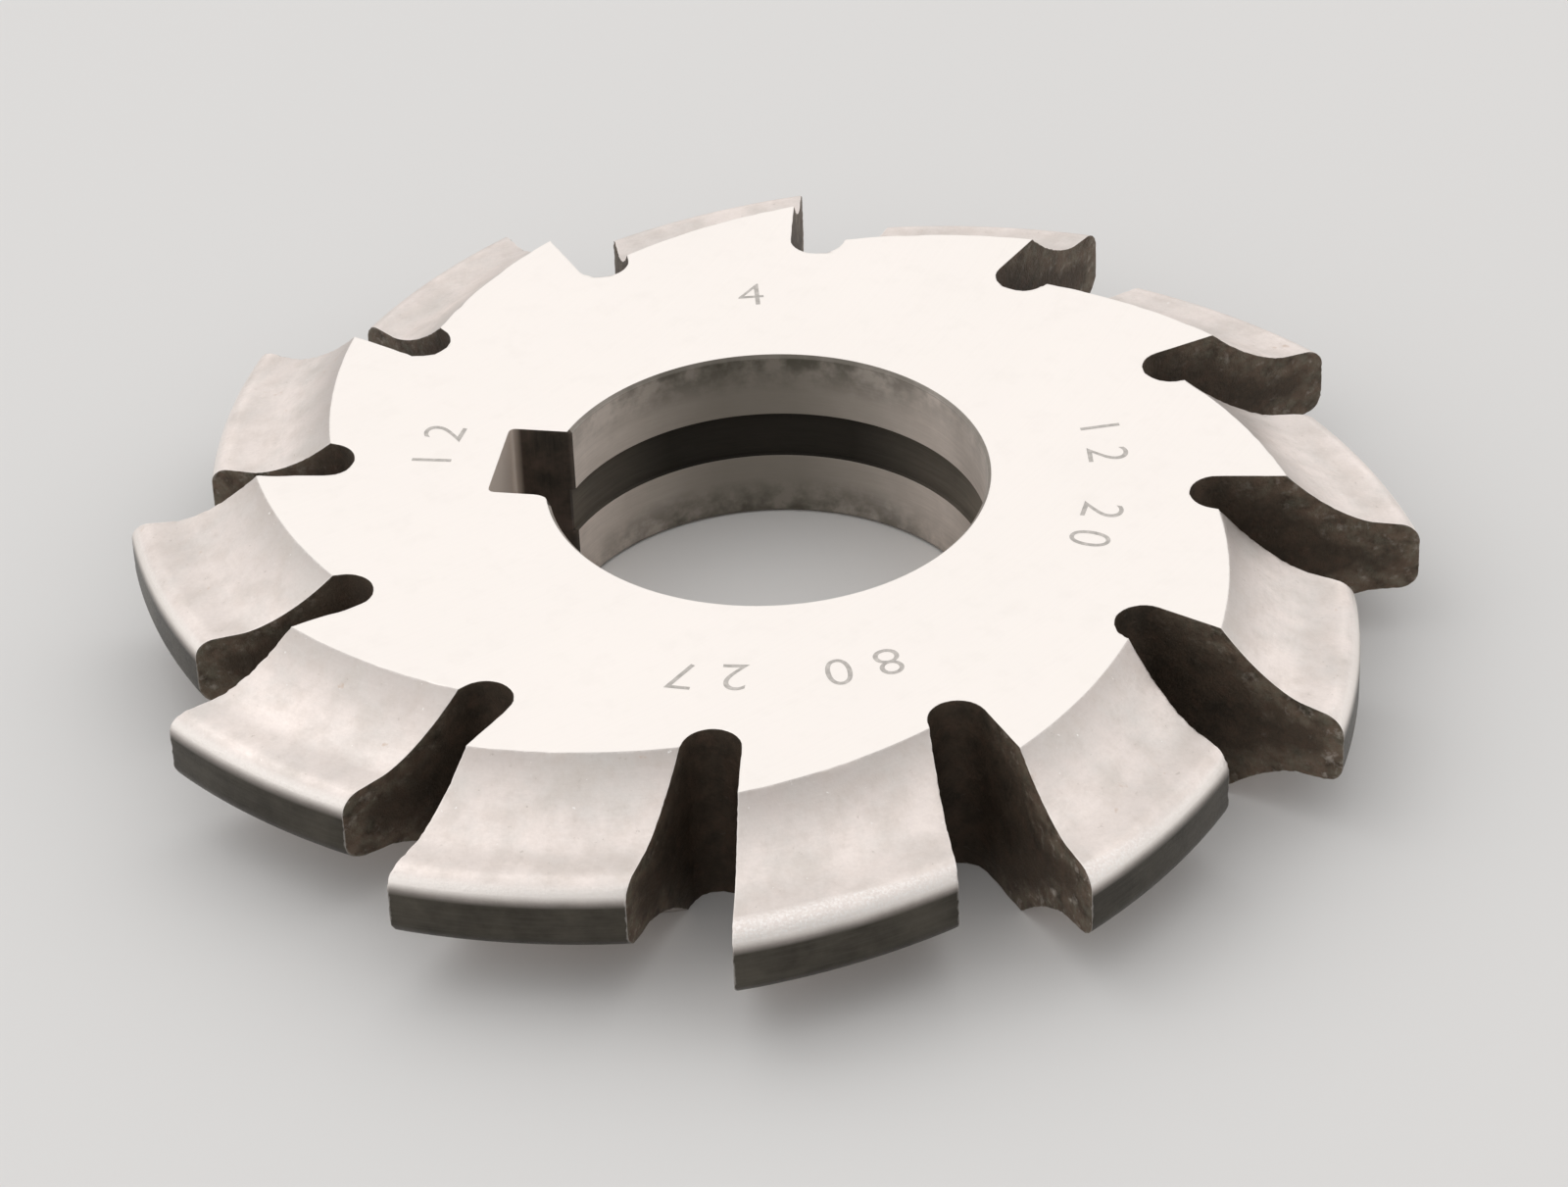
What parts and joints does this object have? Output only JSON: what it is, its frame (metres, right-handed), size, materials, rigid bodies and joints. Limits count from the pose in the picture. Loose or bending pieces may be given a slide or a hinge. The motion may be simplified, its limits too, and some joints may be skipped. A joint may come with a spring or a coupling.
{
  "type": "gear milling cutter",
  "caption": "Disc-shaped form-relieved milling cutter for involute gear teeth, with radial gashes between its relieved teeth and a keyed, recessed through bore.",
  "frame": {"origin": "on the bore's axis, midway between the two side faces", "axes": "+Z along the bore's axis, out of the upper side face as the cutter lies; -X towards the keyway; seen from +Z the teeth trail counterclockwise behind their cutting faces"},
  "size_m": [0.0796, 0.0796, 0.012],
  "materials": {
    "tool_steel": "ground side faces, matte relieved flanks and dark oxidised gashes"
  },
  "bodies": {
    "root": {"gear_cutter": "tool_steel"}
  },
  "joints": []
}
